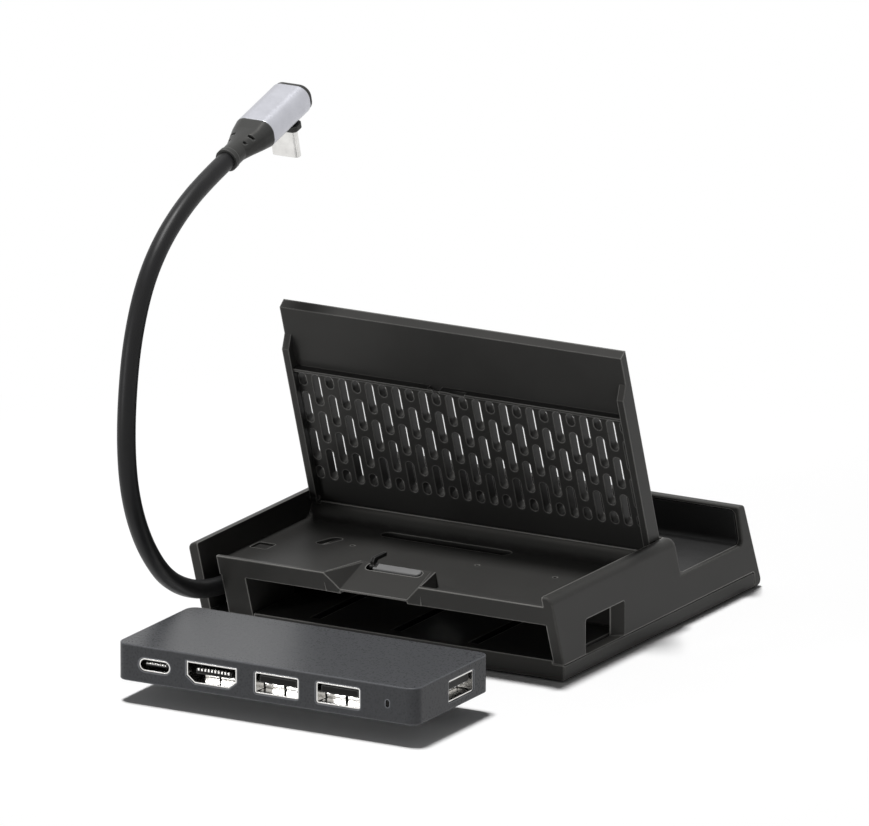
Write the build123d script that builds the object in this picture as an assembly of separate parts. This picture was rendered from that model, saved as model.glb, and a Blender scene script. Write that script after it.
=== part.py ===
"""Folding desk dock for a handheld console, with a hub that slides out of a bay in its port side.

Millimetres. The origin is the centre of the dock's footprint on the desk, +X runs along the width,
-Y is the port side and +Z is up. The dock is drawn with its vent panel open and its hub pulled out.
"""
import math
import os

from build123d import *

# Housing
DOCK_DEPTH = 105.0
SIDE_WALL = 3.0
RAKE = 19.6
WALL_TOP = 24.7
SEAM_HEIGHT = 4.9
SEAM_GAP = 0.15
UNDERSIDE = 0.5
COVER_FLOOR = 2.2
COVER_EDGE = 0.3
WALL_ROUND = 2.2
FRONT_EDGE = 0.5
TRAY_FLOOR = 17.5
TRAY_PLATE = 1.2
TRAY_COVE = 4.3
TRAY_BACK_TOP = 21.8
TRAY_BACK_WALL = 0.6
LIP_TOP = 21.8
LIP_WALL = 1.6
HUMP_END = 7.7
HUMP_ROUND = 3.2

# Pockets in the tray floor
REST_PLACE = (-7.3, -5.6)
REST_SIZE = (39.0, 4.6)
REST_DEPTH = 1.6
REST_SKIN = 1.0
SCOOP_PLACE = (-35.2, -18.5)
SCOOP_SIZE = (8.2, 3.4)
SCOOP_TURN = 73.0
SCOOP_TILT = 12.0
SCOOP_DEPTH = 0.65
RECESS_PLACE = (-48.3, -31.1)
RECESS_SIZE = (5.0, 5.4, 0.6)
RECESS_DEPTH = 0.6
PIP_PLACES = (-27.8, 9.9, 33.4)
PIP_ROW = -19.4
PIP_RADIUS = 0.6

# Console trough
TROUGH_FLOOR = 13.8
TROUGH_LENGTH = 32.0
TROUGH_WALL = 3.2
TROUGH_WALL_TOP = 24.6
TROUGH_SKIN = 2.2
TROUGH_EDGE = 0.5
TROUGH_COVE = 1.5
REAR_RAKE = 22.5
REAR_INNER_RAKE = 14.0
REAR_TOP_ROUND = 1.5
REAR_FOOT = 4.2
LINER = 1.3
LINER_RIM = 1.4
LINER_TOP_RIM = 0.9
LINER_CORNER = 1.6
LINER_GAP = 0.3

# Hub and its bay
HUB_LENGTH = 89.9
HUB_DEPTH = 38.8
HUB_HEIGHT = 10.0
HUB_CORNER = 3.0
HUB_EDGE = 0.3
HUB_WALL = 1.2
HUB_BASE = 0.9
HUB_BOARD = 1.0
HUB_CLEARANCE = 0.3
HUB_RIGHT_MARGIN = 3.5
HUB_FRONT_DOCKED = -55.8
HUB_TRAVEL = 68.5
RUNNER_HEIGHT = 0.8
RUNNER_GROOVE = 3.0
RUNNER_GROOVE_DEPTH = 1.8
RUNNER_GROOVE_SETBACK = 4.0
RUNNER_GROOVE_SHARES = (0.18, 0.45, 0.71)
BAY_END_GAP = 0.9
BAY_END_WALL = 2.0
BAY_POST = 7.3

# Sockets: opening sizes of the common connector kinds
SHELL_SHEET = 0.35
SOCKET_SLIP = 0.12
SOCKET_DEPTH = 10.0
SOCKET_INSET = 0.25
INSULATOR_DEPTH = 2.5
DATA_SOCKET = (13.1, 5.7)
DATA_TONGUE = (11.0, 1.9)
DATA_TONGUE_RAISE = 0.95
VIDEO_SOCKET = (15.0, 5.7)
VIDEO_CHAMFER = (2.4, 1.9)
VIDEO_TONGUE = (10.6, 1.5)
OVAL_SOCKET = (9.3, 3.45)
OVAL_TONGUE = (6.5, 0.7)
OVAL_CENTRE = 11.5
VIDEO_CENTRE = 28.6
DATA_CENTRES = {"left": 48.1, "right": 66.5}
DATA_SIDE_CENTRE = 23.6
LIGHT_CENTRE = 81.3
LIGHT_SLIT = (0.9, 1.8)

# Vent panel
PANEL_SIDE_GAP = 0.3
PANEL_REACH = 59.5
PANEL_TOP_FALL = 0.9
PANEL_TAIL = 2.0
PANEL_LEAN = 18.5
PANEL_AXIS = (0.5, 22.6)
PANEL_FRONT = 0.5
PANEL_THICKNESS = 4.7
PANEL_UPPER = 2.6
PANEL_PLATE = 3.1
LEDGE_DROP = 18.7
LEDGE_LIP = 0.8
LEDGE_MARK = (4.7, 2.2)
RAIL_WIDTH = 2.0
RAIL_PROUD = 0.5
RAIL_DROP = 9.1
RAIL_SLOPE = 3.4
VENT_COLUMNS = 25
VENT_SIDE = 1.92
VENT_OFFSET = 0.35
VENT_WIDTH = 2.3
VENT_SLOT = 9.6
VENT_GAP = 2.1
VENT_SHORT = 3.75
VENT_TOP = 20.7
KNUCKLE_RADIUS = 1.3
PIN_RADIUS = 0.6
PIN_RUNNING = 0.05
PIN_IN_WALL = 2.0
PIN_IN_PANEL = 1.8
HINGE_CLEARANCE = 0.35

# Latch
RAMP_PITCH = 19.0
RAMP_FRONT_HEIGHT = 17.5
RAMP_WIDTH = 20.1
RAMP_LENGTH = 12.5
RAMP_BROW = 0.5
PAD_SHOULDER = 1.2
PAD_RIDGE = 0.4
PAD_BACK_FLAT = 0.8
SLIDER_LENGTH = 14.4
SLIDER_WIDTH = 2.6
SLIDER_PROUD = 0.6
SLIDER_TRAVEL = 1.8
SLIDER_CLEARANCE = 0.2
SLIDER_NECK = 1.6
SLIDER_FOOT = (4.2, 0.8)
HOOK_OVERHANG = 0.6
HOOK_ROOT = (2.0, 1.6)
HOOK_LIFT = 0.25
HOOK_WIDTH = 1.0
HOOK_HEIGHT = 1.05
HOOK_LEVEL = 22.8
HOOK_BITE = 0.8
CATCH_SHELF = 0.5

# Side window for the hub's end socket
WINDOW_FRONT = -41.1
WINDOW_LENGTH = 20.9
WINDOW_SPLAY = 2.6
WINDOW_BOTTOM = 5.0
WINDOW_HEIGHT = 9.5
WINDOW_ROUND = 0.8

# Lead, its inner plug and its outer plug
CABLE_DIAMETER = 5.0
CHANNEL_WIDTH = 5.6
CHANNEL_POST_END = -31.0
CABLE_TURN = 11.0
INNER_PLUG = (20.0, 10.0, 7.0)
INNER_PLUG_X = 2.0
INNER_PLUG_GAP = 0.4
TIP_SIZE = (8.25, 2.4)
TIP_LENGTH = 6.3
TIP_SHEET = 0.25
OUTER_TIP_LENGTH = 8.1
RELIEF_LENGTH = 15.6
RELIEF_ROOT = 3.0
RELIEF_SLEEVE = 5.2
RELIEF_COLLAR = (3.2, 1.6)
RELIEF_SHOULDER = (3.4, 0.7)
RELIEF_SLOTS = (5.9, 8.6)
RELIEF_SLOT = (1.9, 1.8, 0.9)
PLUG_SECTION = (11.6, 8.1)
PLUG_ROUND = 3.4
PLUG_LENGTH = 19.4
CAP_LENGTH = 1.7
CAP_INSET = 0.25
PLUG_COLLAR = (10.0, 4.4, 1.5)
TIP_FROM_END = 5.8

# Fixings
FOOT_RING_MARGIN = (12.8, 8.5)
FOOT_RING_WIDTH = 6.0
FOOT_RING_ROUND = 8.0
FOOT_INSET = 1.1
SCREW_RADIUS = 1.1
SCREW_HEAD = (2.1, 1.3)
SCREW_LENGTH = 7.0
SCREW_ROWS = (-3.0, 33.0)
SCREW_FROM_WALL = 5.8
BOSS_RADIUS = 2.6

# Places worked out from the sizes above
DOCK_WIDTH = SIDE_WALL + CHANNEL_WIDTH + BAY_POST + HUB_CLEARANCE + HUB_LENGTH + HUB_RIGHT_MARGIN
HALF_WIDTH = DOCK_WIDTH / 2
INNER_HALF = HALF_WIDTH - SIDE_WALL
FRONT_FOOT = -DOCK_DEPTH / 2
SLOPE = math.tan(math.radians(RAKE))
REAR_SLOPE = math.tan(math.radians(REAR_RAKE))
REAR_INNER_SLOPE = math.tan(math.radians(REAR_INNER_RAKE))
RAMP_SLOPE = math.tan(math.radians(RAMP_PITCH))
TRAY_CEILING = TRAY_FLOOR - TRAY_PLATE
TROUGH_START = HUMP_END + SLOPE * (WALL_TOP - TROUGH_FLOOR)
TROUGH_END = TROUGH_START + TROUGH_LENGTH
BACK_INNER_TOP = TROUGH_END - REAR_INNER_SLOPE * (TROUGH_WALL_TOP - TROUGH_FLOOR)
BACK_OUTER_TOP = BACK_INNER_TOP + TROUGH_WALL
BACK_FOOT = BACK_OUTER_TOP + REAR_SLOPE * (TROUGH_WALL_TOP - UNDERSIDE)
COVER_END = BACK_FOOT - REAR_FOOT
COVER_END_ROUND = 1.2
SCREW_PLACES = [(side * (INNER_HALF - SCREW_FROM_WALL), y) for y in SCREW_ROWS for side in (-1, 1)]
HUB_BOTTOM = SEAM_HEIGHT + RUNNER_HEIGHT + HUB_CLEARANCE
HUB_TOP = HUB_BOTTOM + HUB_HEIGHT
HUB_MIDDLE = HUB_BOTTOM + HUB_HEIGHT / 2
HUB_RIGHT = HALF_WIDTH - HUB_RIGHT_MARGIN
HUB_LEFT = HUB_RIGHT - HUB_LENGTH
HUB_FRONT = HUB_FRONT_DOCKED - HUB_TRAVEL
HUB_BACK = HUB_FRONT + HUB_DEPTH
HUB_BACK_DOCKED = HUB_FRONT_DOCKED + HUB_DEPTH
BAY_RIGHT = HUB_RIGHT + HUB_CLEARANCE
BAY_LEFT = HUB_LEFT - HUB_CLEARANCE
BAY_END = HUB_BACK_DOCKED + BAY_END_GAP
CHANNEL_LEFT = -INNER_HALF
CHANNEL_RIGHT = CHANNEL_LEFT + CHANNEL_WIDTH
CABLE_X = (CHANNEL_LEFT + CHANNEL_RIGHT) / 2
PANEL_WIDTH = 2 * (INNER_HALF - PANEL_SIDE_GAP)
PANEL_BACK = PANEL_FRONT - PANEL_THICKNESS
PANEL_UPPER_FRONT = PANEL_BACK + PANEL_UPPER
PLATE_FRONT = PANEL_BACK + PANEL_PLATE
LEDGE_REACH = PANEL_REACH - LEDGE_DROP
VENT_PITCH = (PANEL_WIDTH - 2 * RAIL_WIDTH - VENT_SIDE) / (VENT_COLUMNS - 1)
FAR = 200.0


def front_at(height):
    """The Y of the raked front plane of the walls at a height."""
    return FRONT_FOOT - SLOPE * (height - SEAM_HEIGHT)


def outline(corners):
    """A closed face in the side plane from (y, z, corner radius) triples."""
    points = [(y, z) for y, z, _ in corners]
    radii = [r for _, _, r in corners]
    return Plane.YZ * make_face(FilletPolyline(*points, radius=radii, close=True))


def across(corners, left, right):
    """A side outline carried along X from left to right."""
    return Pos(left, 0, 0) * extrude(outline(corners), amount=right - left)


def block(low, high):
    """A box between two opposite corners."""
    size = [b - a for a, b in zip(low, high)]
    return Pos(*low) * Box(*size, align=(Align.MIN, Align.MIN, Align.MIN))


def upright(radius, x, y, low, high):
    """A vertical cylinder between two heights."""
    return Pos(x, y, low) * Cylinder(radius, high - low, align=(Align.CENTER, Align.CENTER, Align.MIN))


def along_x(radius, left, right, y, z):
    """A cylinder along X between two ends."""
    turned = Rot(0, 90, 0) * Cylinder(radius, right - left, align=(Align.CENTER, Align.CENTER, Align.MIN))
    return Pos(left, y, z) * turned


def above_seam(edges, behind):
    """The edges whose middle lies above the seam and behind a given Y."""
    return [e for e in edges if (e @ 0.5).Z > SEAM_HEIGHT + 0.1 and (e @ 0.5).Y > behind]


def front_blank():
    """The front of the body: raked face, level walls and the hump, with a large rounding along each end."""
    body = across([
        (FRONT_FOOT, SEAM_HEIGHT, 0),
        (front_at(WALL_TOP), WALL_TOP, 0),
        (HUMP_END, WALL_TOP, HUMP_ROUND),
        (TROUGH_START + SLOPE * (TROUGH_FLOOR - SEAM_HEIGHT), SEAM_HEIGHT, 0),
    ], -HALF_WIDTH, HALF_WIDTH)
    ends = body.faces().filter_by(Axis.X).edges()
    body = fillet(above_seam(ends, FRONT_FOOT / 2), WALL_ROUND)
    front = body.faces().sort_by(Axis.Y)[0]
    return fillet(above_seam(front.edges(), -FAR), FRONT_EDGE)


def rear_blank():
    """The rear of the body: trough floor, rear wall and the foot behind the cover, with fine edges."""
    body = across([
        (0, SEAM_HEIGHT, 0),
        (0, TROUGH_FLOOR, 0),
        (TROUGH_END, TROUGH_FLOOR, TROUGH_COVE),
        (BACK_INNER_TOP, TROUGH_WALL_TOP, TROUGH_EDGE),
        (BACK_OUTER_TOP, TROUGH_WALL_TOP, REAR_TOP_ROUND),
        (BACK_FOOT, UNDERSIDE, REAR_TOP_ROUND),
        (COVER_END, UNDERSIDE, 0),
        (COVER_END, SEAM_HEIGHT, COVER_END_ROUND),
    ], -HALF_WIDTH, HALF_WIDTH)
    ends = body.faces().filter_by(Axis.X).edges()
    return fillet(above_seam(ends, 1), TROUGH_EDGE)


def plate_front_at(height):
    """The Y of the vent plate's front face at a height, with the panel open."""
    lean = math.radians(PANEL_LEAN)
    axis_y, axis_z = PANEL_AXIS
    return axis_y - (height - axis_z) * math.tan(lean) - PLATE_FRONT / math.cos(lean)


def tray_space():
    """The tray over the hub bay, coved at its back, and the gap in which the panel's lower edge turns."""
    axis_y, axis_z = PANEL_AXIS
    lip_inner = LIP_WALL / math.cos(math.radians(RAKE))
    lean = math.radians(PANEL_LEAN)
    wall_back = plate_front_at(TRAY_BACK_TOP) - HINGE_CLEARANCE / math.cos(lean)
    turn = math.hypot(PANEL_BACK, PANEL_TAIL) + HINGE_CLEARANCE
    tail = PANEL_TAIL + HINGE_CLEARANCE
    seat_y = axis_y + tail * math.sin(lean)
    seat_z = axis_z - tail * math.cos(lean)
    seat_front = seat_z + (wall_back - seat_y) * math.tan(lean)
    seat_back = seat_z + (axis_y + turn - seat_y) * math.tan(lean)
    return across([
        (front_at(WALL_TOP) - 10, WALL_TOP + FAR, 0),
        (front_at(WALL_TOP) - 10, LIP_TOP, 0),
        (front_at(LIP_TOP) + lip_inner, LIP_TOP, 0.5),
        (front_at(TRAY_FLOOR) + lip_inner, TRAY_FLOOR, 1.0),
        (wall_back - TRAY_BACK_WALL, TRAY_FLOOR, TRAY_COVE - 0.01),
        (wall_back - TRAY_BACK_WALL, TRAY_BACK_TOP, 0.3),
        (wall_back, TRAY_BACK_TOP, 0.2),
        (wall_back, seat_front, 0),
        (axis_y + turn, seat_back, 0),
        (axis_y + turn, WALL_TOP + FAR, 0),
    ], -INNER_HALF, INNER_HALF)


def inner_space():
    """What is hollow below the tray and the trough: hub bay, cable channel and rear chamber."""
    below = UNDERSIDE - FAR
    ahead = FRONT_FOOT - FAR
    chamber_front = BAY_END + BAY_END_WALL
    trough_under = TROUGH_FLOOR - LINER - TROUGH_SKIN
    axis_y = PANEL_AXIS[0]
    ceiling = TRAY_FLOOR - REST_DEPTH - REST_SKIN
    chamber = across([
        (chamber_front, below, 0),
        (chamber_front, ceiling, 0),
        (axis_y + 1.0, ceiling, 1.0),
        (TROUGH_START, trough_under, 1.0),
        (TROUGH_END - LINER_RIM, trough_under, 1.0),
        (TROUGH_END + 1.2, SEAM_HEIGHT + 1.6, 1.0),
        (COVER_END - 3.2, SEAM_HEIGHT - 0.5, 0),
        (COVER_END - 3.2, below, 0),
    ], -INNER_HALF, INNER_HALF)
    bay = block((BAY_LEFT, ahead, below), (BAY_RIGHT, BAY_END, TRAY_CEILING))
    channel = block((CHANNEL_LEFT, ahead, below), (CHANNEL_RIGHT, chamber_front + 1, TRAY_CEILING))
    turn_right = CABLE_X + 2 * CABLE_TURN - CABLE_DIAMETER / 2
    turn = block((CHANNEL_LEFT, CHANNEL_POST_END, below), (turn_right, chamber_front + 1, TRAY_CEILING))
    body_low, body_high = inner_plug_box()
    slip = SOCKET_SLIP
    plug_way = block(
        (body_low[0] - slip, BAY_END - 1, below),
        (body_high[0] + slip, chamber_front + 1, body_high[2] + slip),
    )
    return chamber + bay + channel + turn + plug_way


def window_face(x, length):
    """The window's outline at an X, a rounded rectangle of a given length behind its front edge."""
    middle = (x, WINDOW_FRONT + length / 2, WINDOW_BOTTOM + WINDOW_HEIGHT / 2)
    plane = Plane(origin=middle, x_dir=(0, 1, 0), z_dir=(1, 0, 0))
    return plane * RectangleRounded(length, WINDOW_HEIGHT, WINDOW_ROUND)


def window_space():
    """The window in the right wall, splayed at its back so that a plug reaches the hub's end socket."""
    inner = window_face(BAY_RIGHT, WINDOW_LENGTH - WINDOW_SPLAY)
    outer = window_face(HALF_WIDTH, WINDOW_LENGTH)
    return loft([inner, outer]) + extrude(inner, amount=-1) + extrude(outer, amount=1)


def latch_pad():
    """The block behind the lip that carries the latch ramp, as wide in front as the notch in the lip."""
    top = ramp_back_height()
    back = ramp_back() + PAD_BACK_FLAT
    foot = back + SLOPE * (top - TRAY_FLOOR)
    half = RAMP_WIDTH / 2 + PAD_SHOULDER
    wide = RAMP_WIDTH / 2 + top - RAMP_FRONT_HEIGHT + PAD_RIDGE
    body = across([
        (front_at(TRAY_FLOOR) + 0.2, TRAY_CEILING, 0),
        (front_at(top) + 0.2, top, 0),
        (back, top, 0.3),
        (foot, TRAY_FLOOR, 0),
        (foot, TRAY_CEILING, 0),
    ], -wide, wide)
    plan = make_face(Polyline(
        (-wide, front_at(top)), (wide, front_at(top)), (half, back), (half, foot + 1), (-half, foot + 1),
        (-half, back), close=True,
    ))
    return body & extrude(plan, amount=FAR)


def ramp_scoop():
    """The hollow below the ramp's front edge that leaves it as a thin brow over the bay."""
    edge = RAMP_FRONT_HEIGHT - RAMP_BROW
    ahead = ramp_front() - 3
    return across([
        (ahead, edge, 0),
        (front_at(edge) + 0.3, edge, 0),
        (front_at(edge) + 4.5, TRAY_CEILING, 0),
        (front_at(edge) + 4.5, TRAY_CEILING - 0.5, 0),
        (ahead, TRAY_CEILING - 0.5, 0),
    ], -RAMP_WIDTH / 2, RAMP_WIDTH / 2)


def ramp_front():
    """The Y of the ramp's front edge."""
    return front_at(RAMP_FRONT_HEIGHT)


def ramp_back():
    """The Y of the ramp's back edge."""
    return ramp_front() + RAMP_LENGTH


def ramp_back_height():
    """The height of the ramp's back edge, also the top of its pad."""
    return RAMP_FRONT_HEIGHT + RAMP_SLOPE * RAMP_LENGTH


def ramp_space():
    """The wedge cut out of lip and pad: a ramp that rises to the back, with a slanted facet each side."""
    half = RAMP_WIDTH / 2
    top = ramp_back_height()
    rise = top - RAMP_FRONT_HEIGHT
    over = 0.4
    ahead = 4.0
    grow = (rise + over) / rise
    points = []
    for side in (-1, 1):
        points.append((side * half, ramp_front(), RAMP_FRONT_HEIGHT))
        points.append((side * half, ramp_front() - ahead, RAMP_FRONT_HEIGHT - RAMP_SLOPE * ahead))
        points.append((side * half, ramp_front() + RAMP_LENGTH * grow, top + over))
        points.append((side * (half + rise + over), front_at(top + over), top + over))
        points.append((side * (half + rise + over), front_at(top + over) - ahead, top + over))
    return ConvexPolyhedron(points)


def ramp_plane():
    """A plane on the ramp with X along the width, Y up the slope and Z out of the ramp."""
    middle = ramp_back() - SLIDER_WIDTH / 2 - SLIDER_CLEARANCE
    slope_dir = Vector(0, math.cos(math.radians(RAMP_PITCH)), math.sin(math.radians(RAMP_PITCH)))
    return Plane(
        origin=(0, middle, ramp_at(middle)), x_dir=(1, 0, 0), z_dir=Vector(1, 0, 0).cross(slope_dir)
    )


def ramp_at(y):
    """The height of the ramp at a Y."""
    return RAMP_FRONT_HEIGHT + RAMP_SLOPE * (y - ramp_front())


def slider_place():
    """The X of the slider's middle at rest, at the right end of its slot."""
    return SLIDER_TRAVEL / 2


def slot_space():
    """The T-shaped slot in the ramp in which the slider runs."""
    length = SLIDER_LENGTH + SLIDER_TRAVEL + 2 * SLIDER_CLEARANCE
    gap = SLIDER_CLEARANCE
    foot_width, foot_height = SLIDER_FOOT
    mouth = RectangleRounded(length, SLIDER_WIDTH + 2 * gap, SLIDER_WIDTH / 2)
    neck = extrude(mouth, amount=2 + SLIDER_NECK)
    foot = extrude(Rectangle(length, foot_width + 2 * gap), amount=foot_height + 2 * gap)
    shape = Pos(0, 0, -SLIDER_NECK) * neck + Pos(0, 0, -SLIDER_NECK - foot_height - gap) * foot
    return ramp_plane() * shape


def tray_details():
    """Pockets and small holes in the tray floor."""
    floor = TRAY_FLOOR
    high = 3 * REST_DEPTH
    rest = Pos(*REST_PLACE, floor - REST_DEPTH) * extrude(SlotOverall(*REST_SIZE), amount=high)
    scoop = extrude(Rot(0, 0, SCOOP_TURN) * SlotOverall(*SCOOP_SIZE), amount=high)
    scoop = Pos(*SCOOP_PLACE, floor - SCOOP_DEPTH) * Rot(0, -SCOOP_TILT, 0) * scoop
    recess = extrude(RectangleRounded(*RECESS_SIZE), amount=high)
    cuts = rest + scoop + Pos(*RECESS_PLACE, floor - RECESS_DEPTH) * recess
    for x in PIP_PLACES:
        cuts += upright(PIP_RADIUS, x, PIP_ROW, floor - RECESS_DEPTH, floor + 1)
    return cuts


def lip_gap():
    """The gap between lip and left wall where the lead leaves the channel."""
    high = WALL_TOP + 10
    back = front_at(TRAY_FLOOR) + 9.0
    return block((CHANNEL_LEFT, FRONT_FOOT - FAR, TRAY_CEILING - 1), (CHANNEL_RIGHT - 0.4, back, high))


def hinge_space():
    """Room for the panel's knuckles and the holes that hold the pins, mirrored on the two walls."""
    axis_y, axis_z = PANEL_AXIS
    reach = PANEL_WIDTH / 2 - RAIL_WIDTH - HINGE_CLEARANCE
    room = KNUCKLE_RADIUS + HINGE_CLEARANCE
    wall_end = INNER_HALF + PIN_IN_WALL
    right = along_x(room, reach, INNER_HALF, axis_y, axis_z)
    right += along_x(PIN_RADIUS, INNER_HALF - 1, wall_end, axis_y, axis_z)
    return right + mirror(right, about=Plane.YZ)


def liner_corners(gap):
    """L-shaped section of the trough's lining, shrunk by a gap."""
    low = TROUGH_FLOOR - LINER
    start = TROUGH_START + LINER_RIM
    height = TROUGH_WALL_TOP - LINER_TOP_RIM - TROUGH_FLOOR
    back_low = TROUGH_END + LINER
    top_shift = REAR_INNER_SLOPE * (height + LINER)
    return [
        (start + gap, low, 0),
        (start + gap, TROUGH_FLOOR - gap, 0),
        (TROUGH_END, TROUGH_FLOOR - gap, TROUGH_COVE),
        (TROUGH_END - REAR_INNER_SLOPE * height, TROUGH_FLOOR + height - gap, 0),
        (back_low - top_shift, TROUGH_FLOOR + height - gap, 0),
        (back_low, low, 0),
    ]


def round_liner_top(body, radius):
    """The lining or its recess with the two upper corners of its rear wall rounded."""
    return fillet(body.edges().filter_by(Axis.Y).group_by(Axis.Z)[-1], radius)


def liner_space():
    """The recess in floor and rear wall of the trough that holds the lining."""
    half = HALF_WIDTH - LINER_RIM
    corners = liner_corners(0.0)
    start, low, _ = corners[0]
    back, _, _ = corners[-1]
    top_y, top_z, _ = corners[3]
    back_top, _, _ = corners[4]
    space = across([
        (start, low, 0),
        (start, TROUGH_FLOOR + 1, 0),
        (TROUGH_END - 2, TROUGH_FLOOR + 1, 0),
        (top_y - 2, top_z, 0),
        (back_top, top_z, 0),
        (back, low, 0),
    ], -half, half)
    return round_liner_top(space, LINER_CORNER)


def trough_liner():
    """The lining itself, a soft moulding that lies in its recess with a fine gap all round."""
    half = HALF_WIDTH - LINER_RIM - LINER_GAP
    body = across(liner_corners(LINER_GAP), -half, half)
    return round_liner_top(body, LINER_CORNER - LINER_GAP)


def screw_bosses():
    """Posts inside the housing that take the cover's screws."""
    posts = None
    for x, y in SCREW_PLACES:
        top = TRAY_CEILING if y < PANEL_AXIS[0] else TROUGH_FLOOR - LINER - TROUGH_SKIN
        post = upright(BOSS_RADIUS, x, y, SEAM_HEIGHT, top + 0.5)
        posts = post if posts is None else posts + post
    return posts


def screw_holes(radius):
    """The screw holes, with the radius that the piece needs."""
    holes = None
    for x, y in SCREW_PLACES:
        hole = upright(radius, x, y, UNDERSIDE - 1, UNDERSIDE + SCREW_HEAD[1] + SCREW_LENGTH + 0.5)
        holes = hole if holes is None else holes + hole
    return holes


def upper_housing():
    """The moulded body, hollowed and fitted out."""
    body = front_blank() + rear_blank() - tray_space() - inner_space()
    body += latch_pad()
    body = body - ramp_space() - ramp_scoop() - slot_space() - window_space() - lip_gap()
    body = body - hinge_space() - liner_space() - tray_details()
    body += screw_bosses()
    return body - screw_holes(SCREW_RADIUS)


def runner_bed():
    """The raised bed that the hub slides on, flush with the cover's front face."""
    low = SEAM_HEIGHT - SEAM_GAP - 0.5
    return block((HUB_LEFT, FRONT_FOOT, low), (HUB_RIGHT, BAY_END - 1, SEAM_HEIGHT + RUNNER_HEIGHT))


def bottom_cover():
    """The shallow tray below the seam, with the bay's floor runners and seats for ring and screws."""
    top = SEAM_HEIGHT - SEAM_GAP
    end = COVER_END - SEAM_GAP
    body = across([
        (FRONT_FOOT, UNDERSIDE, COVER_EDGE),
        (FRONT_FOOT, top, 0),
        (end, top, COVER_END_ROUND),
        (end, UNDERSIDE, COVER_EDGE),
    ], -HALF_WIDTH, HALF_WIDTH)
    low_edges = body.faces().filter_by(Axis.X).edges().group_by(Axis.Z)[0]
    body = chamfer(low_edges, COVER_EDGE)
    chamber_front = BAY_END + BAY_END_WALL
    floor = UNDERSIDE + COVER_FLOOR
    body -= block((-INNER_HALF + 1, chamber_front + 1, floor), (INNER_HALF - 1, end - 6, SEAM_HEIGHT + 1))
    body += runner_bed()
    for share in RUNNER_GROOVE_SHARES:
        left = HUB_LEFT + share * HUB_LENGTH - RUNNER_GROOVE / 2
        groove_low = (left, FRONT_FOOT + RUNNER_GROOVE_SETBACK, top - RUNNER_GROOVE_DEPTH)
        body -= block(groove_low, (left + RUNNER_GROOVE, BAY_END - 1, HUB_BOTTOM))
    low, high = inner_plug_box()
    body += block((low[0] + 2, low[1] + 3, floor - 0.5), (high[0] - 2, high[1] - 2, low[2]))
    for x, y in SCREW_PLACES:
        body += upright(BOSS_RADIUS, x, y, floor - 0.5, top)
    head_radius, head_height = SCREW_HEAD
    body -= screw_holes(SCREW_RADIUS)
    for x, y in SCREW_PLACES:
        body -= upright(head_radius + 0.1, x, y, UNDERSIDE - 1, UNDERSIDE + head_height)
    return body - ring_seat(UNDERSIDE + FOOT_INSET)


def ring_face():
    """Plan of the rubber foot ring."""
    width = DOCK_WIDTH - 2 * FOOT_RING_MARGIN[0]
    depth = DOCK_DEPTH - 2 * FOOT_RING_MARGIN[1]
    inner = RectangleRounded(
        width - 2 * FOOT_RING_WIDTH, depth - 2 * FOOT_RING_WIDTH, FOOT_RING_ROUND - FOOT_RING_WIDTH
    )
    return RectangleRounded(width, depth, FOOT_RING_ROUND) - inner


def ring_seat(height):
    """The ring's plan carried up from the desk to a height."""
    return extrude(ring_face(), amount=height)


def foot_ring():
    """The rubber ring that the dock stands on."""
    return chamfer(ring_seat(UNDERSIDE + FOOT_INSET).faces().sort_by(Axis.Z)[0].edges(), 0.3)


def cover_screws():
    """Four countersunk-flush pan screws through the cover."""
    head_radius, head_height = SCREW_HEAD
    screws = []
    for x, y in SCREW_PLACES:
        head = upright(head_radius, x, y, UNDERSIDE, UNDERSIDE + head_height)
        shank = upright(SCREW_RADIUS, x, y, UNDERSIDE + head_height, UNDERSIDE + head_height + SCREW_LENGTH)
        drive = Pos(x, y, UNDERSIDE) * extrude(RegularPolygon(0.9, 6), amount=0.7)
        screws.append(head + shank - drive)
    return Compound(children=screws)


def vent_slot(x, top, length):
    """One round-ended vent hole, placed down from the panel's upper edge."""
    middle = PANEL_REACH - top - length / 2
    slot = Rot(0, 0, 90) * SlotOverall(length, VENT_WIDTH)
    deep = PANEL_THICKNESS + 2
    return Pos(x, PANEL_THICKNESS, middle) * (Rot(90, 0, 0) * extrude(slot, amount=2 * deep))


def vents():
    """The staggered field: columns of three slots, and between them columns of two with short ends."""
    cuts = []
    step = VENT_SLOT + VENT_GAP
    for column in range(VENT_COLUMNS):
        x = VENT_OFFSET + (column - (VENT_COLUMNS - 1) / 2) * VENT_PITCH
        if column % 2:
            cuts += [vent_slot(x, VENT_TOP + k * step, VENT_SLOT) for k in range(3)]
            continue
        first = VENT_TOP + VENT_SHORT + VENT_GAP
        cuts.append(vent_slot(x, VENT_TOP, VENT_SHORT))
        cuts += [vent_slot(x, first + k * step, VENT_SLOT) for k in range(2)]
        cuts.append(vent_slot(x, first + 2 * step, VENT_SHORT))
    return cuts


def panel_box(left, right, low, high, back, front):
    """A box in the panel's own upright frame: reach from the axis as Z, front as -Y."""
    return block((left, -front, low), (right, -back, high))


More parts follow.
